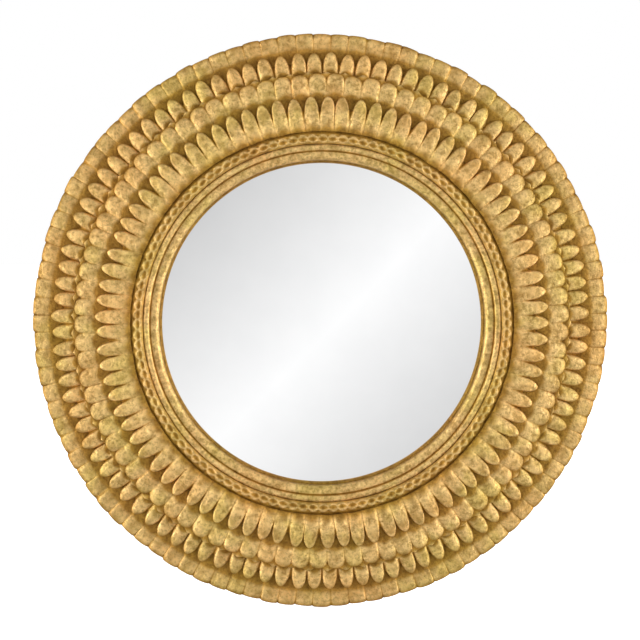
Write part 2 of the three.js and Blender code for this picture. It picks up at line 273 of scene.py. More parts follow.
addLamp("lampLeft", (-light["side"], -light["front"], light["up"]), light["watts"])
addLamp("lampRight", (light["side"], -light["front"], light["up"]), light["watts"])
addLamp("lampBack", light["back"], light["backWatts"])
addWorld()
addFloor()
bpy.context.scene.view_settings.view_transform = "Standard"
print("light and floor placed")


# Colours are linear and texture scales are per metre. A ramp lists (place, colour).
gilding = {
    "tones": [
        (0.05, (0.81, 0.56, 0.225)), (0.3, (0.49, 0.275, 0.056)),    # rubbed ridges, also a painted highlight, plain leaf
        (0.62, (0.33, 0.172, 0.02)), (0.95, (0.23, 0.118, 0.008)),   # hollows with antique wash, deep grooves, both darkened further as painted shade
    ],
    "tints": [(0.36, (0.95, 1.0, 0.82)), (0.5, (1.0, 1.0, 1.0)), (0.64, (1.03, 0.96, 0.92))],
    "mottle": [(0.37, (0.7, 0.65, 0.54)), (0.5, (0.99, 0.98, 0.95)), (0.64, (1.18, 1.2, 1.22))],
    "cloud": [(0.34, (0.78, 0.74, 0.64)), (0.5, (1, 1, 1)), (0.66, (1.14, 1.15, 1.2))],
    "patch": 17,
    "lump": 95,
    "fleck": 240,
    "grit": 700,
    "ragged": 0.34,         # how far the flecks break up the edges of the tones
    "ownTint": 0.035,       # how far a petal's own shade moves its tint
    "metallic": (0.95, -0.4),       # on the ridges, and its change down to the grooves
    "rough": (0.55, 0.12),
    "relief": {"lump": 1.0, "fleck": 0.7, "grit": 0.2, "distance": 0.0026, "strength": 0.6},
}


# Old gold leaf. Its first attribute runs from 0 on rubbed ridges to 1 in the grooves. It carries the
# antique wash together with painted light: painted shade in the hollows, painted shadow under each
# row's tips, and pale ridges that stand for highlights as well. "tint" is each petal's own shade.
def makeGilding():
    material, tree, shader = newMaterial("antiqueGilding")
    place = addNode(tree, "ShaderNodeTexCoord").outputs["Object"]
    washAndShade = addNode(tree, "ShaderNodeAttribute", attribute_name="washAndShade").outputs["Fac"]
    tint = addNode(tree, "ShaderNodeAttribute", attribute_name="tint").outputs["Fac"]
    patch = addNoise(tree, place, gilding["patch"], detail=3)
    lump = addNoise(tree, place, gilding["lump"], detail=2)
    fleck = addNoise(tree, place, gilding["fleck"], detail=4, roughness=0.65)
    grit = addNoise(tree, place, gilding["grit"], detail=2)

    ragged = addMath(tree, "MULTIPLY_ADD", fleck, gilding["ragged"], -gilding["ragged"] / 2)
    # rubbed leaf, antique wash, painted shade and painted highlight together, broken up by the flecks
    wearWashAndShade = addMath(tree, "ADD", washAndShade, ragged, clamp=True)
    colour = addRamp(tree, wearWashAndShade, gilding["tones"])
    shade = addMath(tree, "ADD", patch, addMath(tree, "MULTIPLY", tint, gilding["ownTint"]))
    for factor, stops in ((shade, "tints"), (fleck, "mottle"), (lump, "cloud")):
        colour = addMix(tree, 1.0, colour, addRamp(tree, factor, gilding[stops]), "MULTIPLY")
    tree.links.new(colour, shader.inputs["Base Color"])
    for socket, (ridge, change) in (("Metallic", gilding["metallic"]), ("Roughness", gilding["rough"])):
        tree.links.new(addMath(tree, "MULTIPLY_ADD", wearWashAndShade, change, ridge), shader.inputs[socket])

    relief = gilding["relief"]
    flecks = addMath(tree, "MULTIPLY", fleck, relief["fleck"])
    fine = addMath(tree, "MULTIPLY_ADD", grit, relief["grit"], flecks)
    height = addMath(tree, "MULTIPLY_ADD", lump, relief["lump"], fine)
    addBump(tree, shader, height, relief["distance"], relief["strength"])
    return material


wood = {
    "figure": [(0.32, (0.2, 0.098, 0.038)), (0.62, (0.4, 0.22, 0.09))],
    "specks": [(0.36, (0.55, 0.5, 0.45)), (0.5, (1, 1, 1))],
    "blotch": [(0.3, (0.72, 0.68, 0.62)), (0.65, (1.06, 1.04, 1.0))],
    "grain": 55,
    "pores": 420,
    "stain": 7,
    "drawnOut": 0.07,       # a fibre's width as a share of its length
    "rough": 0.72,
    "bump": 0.0005,
}


# Bare wood, its grain along the given angle in the plane of the wall.
def makeWood(name, grainAngle):
    material, tree, shader = newMaterial(name)
    place = addNode(tree, "ShaderNodeTexCoord").outputs["Object"]
    along = (wood["drawnOut"], 1, 1)
    turned = addNode(tree, "ShaderNodeMapping", {"Vector": place, "Rotation": (0, grainAngle, 0)}).outputs[0]
    drawn = addNode(tree, "ShaderNodeMapping", {"Vector": turned, "Scale": along}).outputs[0]
    grain = addNoise(tree, drawn, wood["grain"], detail=5, roughness=0.6)
    pores = addNoise(tree, drawn, wood["pores"], detail=2)
    stain = addNoise(tree, place, wood["stain"], detail=3)
    colour = addRamp(tree, grain, wood["figure"])
    for factor, stops in ((pores, "specks"), (stain, "blotch")):
        colour = addMix(tree, 1.0, colour, addRamp(tree, factor, wood[stops]), "MULTIPLY")
    tree.links.new(colour, shader.inputs["Base Color"])
    shader.inputs["Roughness"].default_value = wood["rough"]
    addBump(tree, shader, addMath(tree, "ADD", grain, pores), wood["bump"], 0.5)
    return material


hardboard = {
    "tones": [(0.36, (0.19, 0.098, 0.04)), (0.62, (0.3, 0.165, 0.07))],
    "fibre": 420,
    "cloud": 9,
    "fibreShare": 0.6,
    "rough": 0.62,
    "bump": 0.0003,
}


def makeHardboard():
    material, tree, shader = newMaterial("hardboard")
    place = addNode(tree, "ShaderNodeTexCoord").outputs["Object"]
    fibre = addNoise(tree, place, hardboard["fibre"], detail=4, roughness=0.7)
    cloud = addNoise(tree, place, hardboard["cloud"], detail=4)
    clouds = addMath(tree, "MULTIPLY", cloud, 1 - hardboard["fibreShare"])
    mixed = addMath(tree, "MULTIPLY_ADD", fibre, hardboard["fibreShare"], clouds)
    tree.links.new(addRamp(tree, mixed, hardboard["tones"]), shader.inputs["Base Color"])
    shader.inputs["Roughness"].default_value = hardboard["rough"]
    addBump(tree, shader, fibre, hardboard["bump"], 0.5)
    return material


# Clean metal, and dull where hands have been.
metals = {
    "brass": {"tones": [(0.38, (0.4, 0.26, 0.09)), (0.58, (0.72, 0.5, 0.19))], "rough": 0.48},
    "zincSteel": {"tones": [(0.38, (0.42, 0.41, 0.39)), (0.58, (0.58, 0.58, 0.56))], "rough": 0.52},
}
handling = {"cloud": 130, "polish": -0.3, "scratch": 1500, "bump": 0.00015}


def makeMetal(name):
    material, tree, shader = newMaterial(name)
    place = addNode(tree, "ShaderNodeTexCoord").outputs["Object"]
    cloud = addNoise(tree, place, handling["cloud"], detail=5, roughness=0.65)
    scratch = addNoise(tree, place, handling["scratch"], detail=2)
    tree.links.new(addRamp(tree, cloud, metals[name]["tones"]), shader.inputs["Base Color"])
    shader.inputs["Metallic"].default_value = 1
    rough = addMath(tree, "MULTIPLY_ADD", cloud, handling["polish"], metals[name]["rough"])
    tree.links.new(rough, shader.inputs["Roughness"])
    addBump(tree, shader, scratch, handling["bump"], 0.5)
    return material


# Each of these has one noise and its ramp. The glass is the only finish with no roughness at all, so
# it alone sees the reflection's gradient.
plainFinishes = {
    "blackRubber": {
        "noise": 240, "detail": 4, "rough": 0.78, "bump": 0.0003,
        "tones": [(0.4, (0.018, 0.017, 0.016)), (0.7, (0.05, 0.047, 0.043))],
    },
    "silveredGlass": {
        "noise": 18, "detail": 3, "rough": 0, "metallic": 1,
        "tones": [(0.35, (0.955, 0.958, 0.962)), (0.65, (0.975, 0.977, 0.98))],
    },
    "backingPaint": {
        "noise": 60, "detail": 4, "rough": 0.6,
        "tones": [(0.35, (0.11, 0.05, 0.035)), (0.65, (0.19, 0.085, 0.055))],
    },
}


def makePlainFinish(name):
    finish = plainFinishes[name]
    material, tree, shader = newMaterial(name)
    place = addNode(tree, "ShaderNodeTexCoord").outputs["Object"]
    cloud = addNoise(tree, place, finish["noise"], detail=finish["detail"])
    tree.links.new(addRamp(tree, cloud, finish["tones"]), shader.inputs["Base Color"])
    shader.inputs["Roughness"].default_value = finish["rough"]
    shader.inputs["Metallic"].default_value = finish.get("metallic", 0)
    if "bump" in finish:
        addBump(tree, shader, cloud, finish["bump"], 0.4)
    return material


gold = makeGilding()
mirror = makePlainFinish("silveredGlass")
backingPaint = makePlainFinish("backingPaint")
boardFinish = makeHardboard()
brass = makeMetal("brass")
steel = makeMetal("zincSteel")
rubber = makePlainFinish("blackRubber")
print("materials made")


# Each section lists, from the middle of a petal to the groove beside it: the share of a petal's
# width, how far back from the tip its outline lies as a share of the notch, and how much it takes
# of the groove's, the crown's and the dish's depth.
leafSection = [
    (0.00, 0.00, 0.00, 0.00, 0.60), (0.19, 0.14, 0.00, 0.16, 1.00),
    (0.35, 0.48, 0.00, 0.52, 0.00), (0.44, 0.88, 0.24, 0.92, 0.00), (0.50, 1.10, 1.00, 1.00, 0.00),
]
broadSection = [
    (0.00, 0.00, 0.00, 0.00, 1.00), (0.18, 0.14, 0.00, 0.18, 0.60),
    (0.36, 0.60, 0.00, 0.66, 0.00), (0.45, 1.10, 0.30, 1.00, 0.00), (0.50, 1.50, 1.00, 1.00, 0.00),
]
wideSection = [
    (0.00, 0.00, 0.00, 0.00, 1.00), (0.30, 0.10, 0.00, 0.30, 0.50),
    (0.455, 0.50, 0.30, 0.90, 0.00), (0.50, 1.00, 1.00, 1.00, 0.00),
]

# Each station along a petal, from under the next row out to the tip: the share of the length, the
# fall below the top of the row, the depths of groove, crown and dish, all in mm, and the darkening by
# antique wash and painted shade: painted shadow where the next row's tips lie over the base, and
# painted shade round each tip's edge.
rows = {
    "petalsOuter": {
        "node": "petal_row_outer", "count": 100, "phase": 0.0, "start": 338, "tip": 380.95,
        "notch": 1.3, "section": wideSection, "seed": 3,
        "stations": [
            (0.000, 0.3, 0.2, 0.4, 0.0, 0.44), (0.445, 0.2, 0.3, 0.7, 0.0, 0.50),
            (0.530, 0.0, 0.4, 0.8, 0.1, 0.14), (0.900, 0.6, 1.0, 0.8, 0.2, 0.08),
            (1.000, 2.6, 2.8, 1.0, 0.0, 0.36),
        ],
    },
    "petalsSecond": {
        "node": "petal_row_second", "count": 100, "phase": 0.5, "start": 312, "tip": 356.7,
        "notch": 15, "section": leafSection, "seed": 5,
        "stations": [
            (0.000, 0.3, 0.6, 1.2, 0.0, 0.50), (0.395, 0.1, 1.4, 1.8, 0.0, 0.66),
            (0.465, 0.0, 1.8, 1.9, 0.0, 0.08), (0.900, 1.4, 2.9, 1.1, 0.4, 0.04),
            (1.000, 4.2, 2.2, 0.5, 0.0, 0.28),
        ],
    },
    "petalsThird": {
        "node": "petal_row_third", "count": 85, "phase": 0.5, "start": 276, "tip": 328.2,
        "notch": 5, "section": broadSection, "seed": 8,
        "stations": [
            (0.000, 0.3, 0.1, 0.6, 0.0, 0.44), (0.455, 0.1, 0.2, 1.1, 0.0, 0.52),
            (0.525, 0.0, 0.3, 1.2, 0.1, 0.06), (0.900, 0.7, 0.8, 1.3, 0.3, 0.04),
            (1.000, 3.7, 1.3, 1.0, 0.0, 0.28),
        ],
        # small tips that show between the petals, below them, their foot and sides darkened as painted shade
        # under the petals
        "underTip": {
            "fall": 3.0, "drop": 0.5, "reach": -0.6, "spread": 0.27, "curve": 7, "footInset": 0.6,
            "ledgeInset": 1.0, "footWashAndShade": 0.5, "tipWashAndShade": 0.05, "sideWashAndShade": 0.3,
        },
    },
    "petalsInner": {
        "node": "petal_row_inner", "count": 85, "phase": 0.0, "start": 251.3, "tip": 298.9,
        "notch": 17, "section": leafSection, "seed": 13,
        "stations": [
            (0.000, 2.4, 0.0, 1.6, 0.0, 0.70), (0.040, 0.5, 0.0, 2.4, 0.0, 0.35),
            (0.330, 0.0, 0.1, 2.8, 0.0, 0.00), (0.600, 0.2, 0.8, 1.9, 0.8, 0.06),
            (0.840, 1.0, 3.0, 0.6, 1.8, 0.16), (0.950, 2.8, 3.6, 0.3, 1.0, 0.02),
            (1.000, 5.6, 2.2, 0.3, 0.0, 0.28),
        ],
    },
}
# How uneven the carving is, in mm.
handWork = {
    "tip": 2.3, "lift": 0.9, "lean": 2.3, "leanDrop": 0.3, "swing": 1.7, "ripple": 0.85, "rippleScale": 60,
}
washAndShadeDepths = {"groove": 0.6, "fullGroove": 3, "crown": 0.1}     # antique wash and painted shade, darker down a groove, paler on a crown
sideWall = {"crease": 0.55, "washAndShade": 0.6}                  # edge of a row's plain sides, and its darkening: painted shade at the foot
leastThickness = 0.8                                        # mm of wood left above a row's seat


# The full width of a section, from the groove on one side up to the groove on the other.
def bothSides(section):
    left = [(-share, *rest) for share, *rest in reversed(section)]
    return left + [(share, *rest) for share, *rest in section[1:-1]]


# Spreads a grid round the frame: its columns are the shares of each of the repeats and its rows the
# stations. place gives the offset round the frame, radius, height, darkening by antique wash and painted
# shade, and tint of each point.
def wrapRound(bm, count, shares, stations, phase, place):
    columns, lines = count * len(shares), len(stations) - 1
    bmesh.ops.create_grid(bm, x_segments=columns, y_segments=lines, size=0.5)
    washAndShade = bm.verts.layers.float.new("washAndShade")
    tint = bm.verts.layers.float.new("tint")
    for vert in bm.verts:
        repeat, column = divmod(round((vert.co.x + 0.5) * columns), len(shares))
        station = stations[round((vert.co.y + 0.5) * lines)]
        here = place(repeat % count, shares[column], station)
        if column == 0:        # the groove between two petals lies halfway between their edges
            other = place((repeat - 1) % count, (-shares[0][0], *shares[0][1:]), station)
            here = (here + other) / 2
        angle = (repeat + phase + shares[column][0]) * turn / count
        vert.co = onFrame(here[1], angle + here[0] / here[1], here[2])
        vert[washAndShade] = min(max(here[3], 0), 1)
        vert[tint] = here[4]
    bmesh.ops.remove_doubles(bm, verts=bm.verts, dist=mergeDistance)


# Draws the two open edges of a wrapped strip down to its seat and closes the underside.
def closeUnderside(bm, seat):
    washAndShade = bm.verts.layers.float["washAndShade"]
    crease = bm.edges.layers.float.new("crease_edge")
    middle = sum(math.hypot(v.co.x, v.co.z) for v in bm.verts) / len(bm.verts)
    justAbove = (seat + 0.01) * mm
    rims = []
    for outside in (True, False):
        border = [edge for edge in bm.edges if edge.is_boundary and -edge.verts[0].co.y > justAbove
                  and (math.hypot(edge.verts[0].co.x, edge.verts[0].co.z) > middle) == outside]
        for edge in border:
            edge[crease] = sideWall["crease"]
        made = bmesh.ops.extrude_edge_only(bm, edges=border)["geom"]
        for vert in vertsOf(made):
            vert.co.y = -seat * mm
            # painted shade: the foot of each side wall is dark
            vert[washAndShade] = sideWall["washAndShade"]
        rims.append(edgesOf(made))
    for edge in rims[0] + rims[1]:
        edge[crease] = 1
    bmesh.ops.bridge_loops(bm, edges=rims[0] + rims[1])


def ripple(radius, angle, height, size):
    spot = onFrame(radius, angle, height) * handWork["rippleScale"]
    return noise.noise(spot) * size


def carvedRow(name):
    row = rows[name]
    seat, top = backAndFront(row["node"])
    rng = random.Random(row["seed"])
    petals = [{part: rng.uniform(-1, 1) for part in ("tip", "lift", "lean", "swing", "tint")}
              for _ in range(row["count"])]
    pitch = turn / row["count"]
    underTip = row.get("underTip")

    def place(petal, across, station):
        share, drop, inGroove, inCrown, inDish = across
        along, fall, groove, crown, dish, stationWashAndShade = station[:6]
        own = petals[petal]
        tip = row["tip"] - (0.5 + 0.5 * own["tip"]) * handWork["tip"] - drop * row["notch"]
        radius = row["start"] + (tip - row["start"]) * along
        lift = (0.5 + 0.5 * own["lift"]) * handWork["lift"] + abs(own["lean"]) * handWork["leanDrop"]
        lean = own["lean"] * handWork["lean"] * share
        carved = fall + groove * inGroove + crown * inCrown + dish * inDish
        height = top - lift + lean - carved
        offset = own["swing"] * handWork["swing"] * along
        # antique wash and painted shade, darker down a groove, paler on a crown
        grooved = inGroove * min(1, groove / washAndShadeDepths["fullGroove"])
        washAndShade = stationWashAndShade + washAndShadeDepths["groove"] * grooved - washAndShadeDepths["crown"] * (1 - inGroove) * inCrown
        # painted shade under the petals at the small tips' foot and sides
        if station[6:] == ("foot",):
            radius -= underTip["footInset"]
            height = top - underTip["fall"]
            washAndShade = underTip["footWashAndShade"]
        if station[6:] == ("ledge",):
            back = abs(0.5 - abs(share)) / underTip["spread"]
            pointed = row["tip"] - underTip["reach"] - back * back * underTip["curve"]
            radius = max(radius - underTip["ledgeInset"], pointed)
            height = top - underTip["fall"] - underTip["drop"]
            washAndShade = underTip["tipWashAndShade"] + underTip["sideWashAndShade"] * min(1, back)
        angle = (petal + row["phase"] + share) * pitch
        radius += ripple(radius, angle, 0, handWork["ripple"]) - handWork["ripple"] * 0.5
        height += ripple(radius, angle, 50, handWork["ripple"]) - handWork["ripple"] * 0.5
        return Vector((offset, radius, max(height, seat + leastThickness), washAndShade, own["tint"]))

    stations = list(row["stations"])
    if underTip:
        stations += [(*stations[-1], "foot"), (*stations[-1], "ledge")]
    bm = bmesh.new()
    wrapRound(bm, row["count"], bothSides(row["section"]), stations, row["phase"], place)
    closeUnderside(bm, seat)
    return finishPiece(name, bm, [gold], replaces=[row["node"]], levels=2)


for rowName in rows:
    carvedRow(rowName)
print("carved rows made")


guilloche = {
    "node": "guilloche_moulding", "eyes": 116, "middle": 241.6, "swing": 4.1, "pinch": 0.3,
    "ribbon": 2.4, "roundness": 0.8, "crest": 59.7, "ribbonDrop": 0.9, "eyeDepth": 3.2,
    "sideDepth": 2.4, "innerDrop": 1.6,
    "inner": (234.9, 55.6), "innerShoulder": (235.7, 56.4),       # radius and height off the wall
    "outerShoulder": (247.8, 57.6), "floor": (248.9, 56.6), "outer": (251.1, 56.6),
    "uneven": 0.9, "shift": 0.8, "ripple": 0.35, "rippleUp": 0.3, "seed": 21,
}


# Two ribbons wave round the row of eyes and cross between them.
def makeGuilloche():
    g = guilloche
    seat, _ = backAndFront(g["node"])
    rng = random.Random(g["seed"])
    eyes = [{part: rng.uniform(-1, 1) for part in ("depth", "shift", "tint")} for _ in range(g["eyes"])]

    def place(eye, across, station):
        own = eyes[eye]
        deep = math.cos(math.pi * across[0]) ** g["roundness"]       # 1 at the eye, 0 at the crossing
        wave = g["swing"] * (g["pinch"] + (1 - g["pinch"]) * deep)
        inside, outside = g["middle"] - wave, g["middle"] + wave
        crest = g["crest"] - (0.5 + 0.5 * own["depth"]) * g["uneven"]
        innerCrest = crest - g["innerDrop"] * deep
        side = g["ribbonDrop"] + (1 - deep) * g["sideDepth"]
        pit = g["eyeDepth"] * deep
        ribbon = g["ribbon"]
        points = {                                                   # radius, height, antique wash and painted shade: darkest in the eyes and the groove outside
            "inner": (*g["inner"], 0.3),
            "innerShoulder": (*g["innerShoulder"], 0.25),
            "innerOut": (inside - ribbon * 0.6, innerCrest - side * 0.6, 0.2),
            "innerCrest": (inside, innerCrest, 0.0),
            "innerIn": (inside + ribbon * deep * 0.6, innerCrest - pit * 0.5, 0.3 * deep),
            "eye": (g["middle"], crest - pit, 0.05 + 0.6 * deep),
            "outerIn": (outside - ribbon * deep * 0.7, crest - pit * 0.5, 0.25 * deep),
            "outerCrest": (outside, crest, 0.0),
            "outerOut": (outside + ribbon, crest - side, 0.08 + 0.35 * (1 - deep)),
            "outerShoulder": (*g["outerShoulder"], 0.35),
            "floor": (*g["floor"], 0.75),
            "outer": (*g["outer"], 0.8),
        }
        radius, height, washAndShade = points[station]
        angle = (eye + across[0]) * turn / g["eyes"]
        radius += ripple(radius, angle, 0, g["ripple"])
        height += ripple(radius, angle, 30, g["rippleUp"]) - g["rippleUp"]
        return Vector((own["shift"] * g["shift"], radius, height, washAndShade, own["tint"]))

    stations = ["inner", "innerShoulder", "innerOut", "innerCrest", "innerIn", "eye",
                "outerIn", "outerCrest", "outerOut", "outerShoulder", "floor", "outer"]
    bm = bmesh.new()
    wrapRound(bm, g["eyes"], [(-0.5,), (-0.3,), (0.0,), (0.3,)], stations, 0.0, place)
    closeUnderside(bm, seat)
    return finishPiece("guillocheRibbon", bm, [gold], replaces=[g["node"]], levels=1)


makeGuilloche()
print("guilloche made")


# Spins an outline of (radius, height) points, in mm, round the middle of the frame.
def spinRound(bm, outline, steps, closed=True):
    verts = [bm.verts.new(onFrame(radius, 0, height)) for radius, height in outline]
    pairs = list(zip(verts, verts[1:] + verts[:1])) if closed else list(zip(verts, verts[1:]))
    edges = [bm.edges.new(pair) for pair in pairs]
    bmesh.ops.spin(bm, geom=verts + edges, cent=(0, 0, 0), axis=(0, 1, 0), angle=turn,
                   steps=steps, use_merge=True)
    bmesh.ops.remove_doubles(bm, verts=bm.verts, dist=mergeDistance)


# Points of a half round between two feet.
def halfRound(fromRadius, fromHeight, toRadius, toHeight, crest, steps):
    points = []
    for i in range(1, steps):
        sweep = math.pi * i / steps
        foot = fromHeight if sweep < math.pi / 2 else toHeight
        radius = (fromRadius + toRadius) / 2 + (fromRadius - toRadius) / 2 * math.cos(sweep)
        points.append((radius, foot + (crest - foot) * math.sin(sweep)))
    return points


sight = {
    "node": "sight_moulding", "wall": 226.6, "outer": 234.75, "reedOuter": 233.6, "reedInner": 225.9,
    "sight": 213.4, "edge": 41.7, "bead": 51.6, "valley": 50.4, "reed": 55.6, "rim": 54.4,
    "lip": 2.0, "wallFront": 36.2, "corner": (0.4, 0.6), "edgeRound": 0.6, "steps": 180, "uneven": 0.22,
    "washAndShadeDepths": {"reedInner": (1.6, 0.5), "outer": (1.2, 0.3), "sight": (1.4, 0.4)},    # width and strength of antique wash and painted shade in the valleys and at the sight edge
}


def makeSightMoulding():
    s = sight
    seat, _ = backAndFront(s["node"])
    corner, down = s["corner"]
    beadFoot = s["edge"] + 2 * s["edgeRound"]
    outline = [(s["wall"], seat), (s["outer"], seat), (s["outer"], s["rim"] - down),
               (s["outer"] - corner, s["rim"]), (s["reedOuter"], s["rim"])]
    outline += halfRound(s["reedOuter"], s["rim"], s["reedInner"], s["valley"], s["reed"], 10)
    outline += [(s["reedInner"], s["valley"])]
    outline += halfRound(s["reedInner"], s["valley"], s["sight"], beadFoot, s["bead"], 12)
    outline += [(s["sight"], s["edge"] + s["edgeRound"]),
                (s["sight"] + s["edgeRound"] / 2, s["edge"] - s["lip"]), (s["wall"], s["wallFront"])]
    bm = bmesh.new()
    spinRound(bm, outline, s["steps"])
    washAndShade = bm.verts.layers.float.new("washAndShade")
    tint = bm.verts.layers.float.new("tint")
    for vert in bm.verts:
        radius = math.hypot(vert.co.x, vert.co.z) / mm
        angle = math.atan2(vert.co.z, vert.co.x)
        # painted shade with antique wash in the valleys beside the reed and at the sight edge
        washedAndShaded = 0
        for ring, (width, strength) in s["washAndShadeDepths"].items():
            away = radius - s[ring] if ring == "sight" else abs(radius - s[ring])
            washedAndShaded += max(0, 1 - away / width) * strength
        vert[washAndShade] = min(1, washedAndShaded)
        vert[tint] = ripple(radius, angle, 0, 2.0)
        if -vert.co.y / mm > s["edge"]:
            wobble = ripple(radius * 0.2, angle, 10, s["uneven"]) + ripple(radius, angle, 10, s["uneven"])
            vert.co.y += (abs(wobble) + 0.05) * mm
    return finishPiece("sightMoulding", bm, [gold], replaces=[s["node"]], levels=1)


glass = {
    "node": "convex_mirror_glass", "radius": 224.0, "thickness": 3.0, "sagitta": 30.0,
    "steps": 36, "around": 180, "play": 0.02,
}


# A bent disc of glass, silvered: the front is the mirror, the back and the rim are painted.
def makeGlass():
    _, apex = backAndFront(glass["node"])
    radius, sagitta, thickness = glass["radius"], glass["sagitta"], glass["thickness"]
    dome = (radius ** 2 + sagitta ** 2) / (2 * sagitta)

    def front(r):
        return apex - glass["play"] - dome + math.sqrt(dome ** 2 - r ** 2)

    radii = [radius * i / glass["steps"] for i in range(glass["steps"] + 1)]
    outline = [(r, front(r)) for r in radii] + [(r, front(r) - thickness) for r in reversed(radii)]
    bm = bmesh.new()
    spinRound(bm, outline, glass["around"], closed=False)
    for face in bm.faces:
        middle = face.calc_center_median()
        r = math.hypot(middle.x, middle.z) / mm
        if r > radius - 0.01 or -middle.y / mm < front(min(r, radius)) - thickness / 2:
            face.material_index = 1
    return finishPiece("convexGlass", bm, [mirror, backingPaint], replaces=[glass["node"]])


makeSightMoulding()
makeGlass()
print("sight moulding and glass made")


carcase = {
    "segments": 8, "inner": 226.5, "outer": 367.9, "joint": 0.3, "play": 0.02, "steps": 16, "softened": 0.9,
}


def makeSegment(number):
    node = f"back_ring_segment_{number}"
    back, front = backAndFront(node)
    sweep = turn / carcase["segments"]
    middle = (number - 1) * sweep
    trim = carcase["joint"] / 2 / carcase["inner"]
    start = middle - sweep / 2 + trim
    bm = bmesh.new()
    back += carcase["play"]
    corners = [(carcase["inner"], back), (carcase["outer"], back),
               (carcase["outer"], front), (carcase["inner"], front)]
    section = bm.faces.new([bm.verts.new(onFrame(radius, start, height)) for radius, height in corners])
    bmesh.ops.spin(bm, geom=[section, *section.edges, *section.verts], cent=(0, 0, 0), axis=(0, -1, 0),
                   angle=sweep - 2 * trim, steps=carcase["steps"])
    bmesh.ops.recalc_face_normals(bm, faces=bm.faces)
    bevelSharpEdges(bm, carcase["softened"])
    finish = makeWood(f"bareWood{number}", middle + math.pi / 2)
    return finishPiece(f"backSegment{number}", bm, [finish], replaces=[node])


board = {"node": "backing_board", "radius": 224.4, "softened": 0.6, "steps": 120}


def makeBoard():
    back, front = backAndFront(board["node"])
    radius = board["radius"]
    bm = bmesh.new()
    spinRound(bm, [(0, back), (radius, back), (radius, front), (0, front)], board["steps"], closed=False)
    bmesh.ops.recalc_face_normals(bm, faces=bm.faces)
    bevelSharpEdges(bm, board["softened"])
    return finishPiece("backingBoard", bm, [boardFinish], replaces=[board["node"]])


for number in range(1, carcase["segments"] + 1):
    makeSegment(number)
makeBoard()
frame["nodes"]["packing_ring"].material_slots[0].material = makeWood("packingWood", 0)
print("back made")


button = {
    "count": 6, "reach": 24, "radius": 5.95, "hole": 2.4, "thickness": 2.2, "softened": 0.5, "steps": 40,
    "screwTurn": 0.7,       # how far each screw's slot is turned past the one before
}
screwHead = [(0, 1), (0.35, 0.97), (0.7, 0.8), (0.92, 0.5), (1, 0.12), (0.97, 0)]    # shares of its size
screwTaper = 0.75
buttonScrew = {"head": 4.15, "rise": 1.95, "shank": 2.0, "length": 13.0, "slot": 1.1, "slotDepth": 0.8}
hangerScrew = {"head": 3.55, "rise": 1.45, "shank": 1.7, "length": 12.0, "slot": 1.1, "slotDepth": 0.8}


# Stands a part that was drawn flat, with z towards the wall's back, on a spot of the frame.
def standOnBack(bm, spot, spin=0.0):
    upright = Matrix.Rotation(math.radians(-90), 4, "X")
    place = Matrix.Translation(spot) @ Matrix.Rotation(-spin, 4, "Y") @ upright
    bmesh.ops.transform(bm, matrix=place, verts=bm.verts)


def makeButton(number, pivot):
    node = f"turn_button_{number}"
    _, front = backAndFront(node)
    bm = bmesh.new()
    loops = []
    for radius in (button["radius"], button["hole"]):
        made = bmesh.ops.create_circle(bm, segments=button["steps"], radius=radius * mm)["verts"]
        if radius == button["radius"]:
            for vert in made:
                if vert.co.x < -1e-7:
                    vert.co.x -= button["reach"] * mm
        loops += list({edge for vert in made for edge in vert.link_edges})
    bmesh.ops.bridge_loops(bm, edges=loops)
    top = bmesh.ops.extrude_face_region(bm, geom=bm.faces[:])["geom"]
    bmesh.ops.translate(bm, verts=vertsOf(top), vec=(0, 0, button["thickness"] * mm))
    bmesh.ops.recalc_face_normals(bm, faces=bm.faces)
    bevelSharpEdges(bm, button["softened"])
    angle = math.atan2(pivot.z, pivot.x)
    standOnBack(bm, Vector((pivot.x, -front * mm, pivot.z)), angle)
    name = f"turnButton{number}"
    return finishPiece(name, bm, [brass], body=f"button_{number}", replaces=[node])


# A round-headed wood screw. Drawn with its head up, seat at z = 0.
def makeScrew(name, node, size, finish, spin):
    low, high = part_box(node)
    bm = bmesh.new()
    outline = [(size["head"] * share, size["rise"] * level) for share, level in screwHead]
    outline += [(size["shank"], 0), (size["shank"], -size["length"] * screwTaper), (0, -size["length"])]
    verts = [bm.verts.new((radius * mm, 0, height * mm)) for radius, height in outline]
    edges = [bm.edges.new(pair) for pair in zip(verts, verts[1:])]
    bmesh.ops.spin(bm, geom=verts + edges, cent=(0, 0, 0), axis=(0, 0, 1), angle=turn,
                   steps=28, use_merge=True)
    bmesh.ops.remove_doubles(bm, verts=bm.verts, dist=mergeDistance / 10)
    halfSlot = size["slot"] / 2 * mm
    for side in (-1, 1):
        bmesh.ops.bisect_plane(bm, geom=bm.verts[:] + bm.edges[:] + bm.faces[:], dist=mergeDistance / 10,
                               plane_co=(side * halfSlot, 0, 0), plane_no=(side, 0, 0))
    bmesh.ops.recalc_face_normals(bm, faces=bm.faces)
    slot = [face for face in bm.faces if abs(face.calc_center_median().x) < halfSlot
            and face.normal.z > 0.15 and face.calc_center_median().z > 0]
    sunk = bmesh.ops.extrude_face_region(bm, geom=slot)["geom"]
    bmesh.ops.delete(bm, geom=slot, context="FACES_ONLY")
    for vert in vertsOf(sunk):
        vert.co.z = min(vert.co.z, (size["rise"] - size["slotDepth"]) * mm)
    middle = (low + high) / 2
    standOnBack(bm, Vector((middle.x, high.y - size["rise"] * mm, middle.z)), spin)
    return finishPiece(name, bm, [finish], replaces=[node])


for number in range(1, button["count"] + 1):
    makeButton(number, pivotOf(f"button_{number}_turn"))
    spin = button["screwTurn"] * number
    makeScrew(f"buttonScrew{number}", f"button_screw_{number}", buttonScrew, brass, spin)
print("turn buttons made")


hanger = {
    "width": 14, "drop": 42, "thickness": 1.2, "knuckle": 2.5, "wrap": 285, "steps": 26, "softened": 0.35,
}
wire = {"radius": 1.55, "halfWidth": 11.6, "straight": 6.0, "corner": 3.4, "sides": 14, "lean": 4.9}
screwTurns = {"upper": 0.5, "lower": 2.1}


